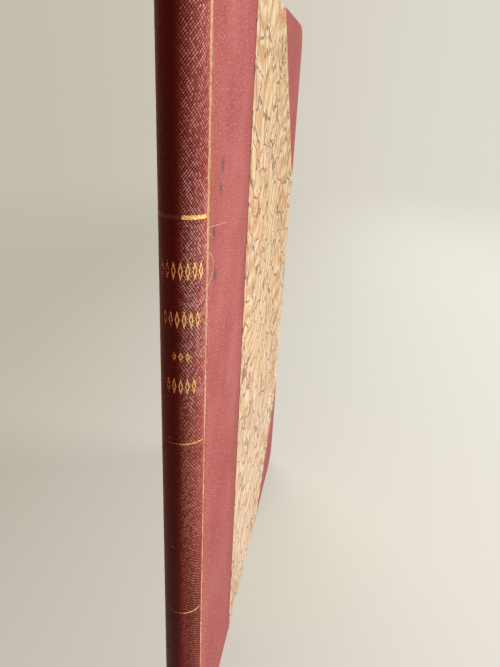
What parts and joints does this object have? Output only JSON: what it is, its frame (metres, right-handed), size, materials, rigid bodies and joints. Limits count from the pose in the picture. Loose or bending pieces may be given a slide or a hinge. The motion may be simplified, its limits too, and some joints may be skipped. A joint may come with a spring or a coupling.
{
  "type": "antique leather book",
  "caption": "Slim antique half-bound book standing on its tail: grained red spine and corners, marbled paper sides, gilt lines on the spine, and both covers open on their joints.",
  "frame": {"origin": "middle of the footprint, on the surface that the tail edge stands on", "axes": "+Z from tail to head, +Y from the spine to the fore-edge, +X from the middle of the pages to the front cover"},
  "size_m": [0.0118, 0.1788, 0.24],
  "materials": {
    "red_leathercloth": "bead-grained, worn satin",
    "marbled_paper": "vein-marbled, dull",
    "pages": "aged uncoated paper",
    "endpaper": "aged uncoated paper",
    "pasteboard": "raw board",
    "lining_paper": "kraft paper",
    "mull": "open-weave cotton",
    "band_cloth": "worked band",
    "gilt": "worn gold film"
  },
  "bodies": {
    "root": {"text_block": "pages", "front_flyleaf": "endpaper", "back_flyleaf": "endpaper", "spine_mull": "mull", "spine_lining": "lining_paper", "head_band": "band_cloth", "tail_band": "band_cloth", "spine_inlay": "lining_paper", "spine_covering": "red_leathercloth", "gilt_fillet_upper": "gilt", "gilt_fillet_middle": "gilt", "gilt_fillet_lower": "gilt", "gilt_row_1": "gilt", "gilt_row_2": "gilt", "gilt_row_3": "gilt", "gilt_row_4": "gilt"},
    "front_cover": {"front_board": "pasteboard", "front_lap": "red_leathercloth", "front_corner_head": "red_leathercloth", "front_corner_tail": "red_leathercloth", "front_side_paper": "marbled_paper", "front_mull_flange": "mull", "front_pastedown": "endpaper"},
    "back_cover": {"back_board": "pasteboard", "back_lap": "red_leathercloth", "back_corner_head": "red_leathercloth", "back_corner_tail": "red_leathercloth", "back_side_paper": "marbled_paper", "back_mull_flange": "mull", "back_pastedown": "endpaper"}
  },
  "joints": [
    {"name": "front_joint", "type": "hinge", "parent": "root", "child": "front_cover", "pos_m": [0.00575, -0.08463, 0.12], "axis": [0, 0, -1], "range_deg": [0, 180]},
    {"name": "back_joint", "type": "hinge", "parent": "root", "child": "back_cover", "pos_m": [-0.00575, -0.08463, 0.12], "axis": [0, 0, 1], "range_deg": [0, 180]}
  ]
}
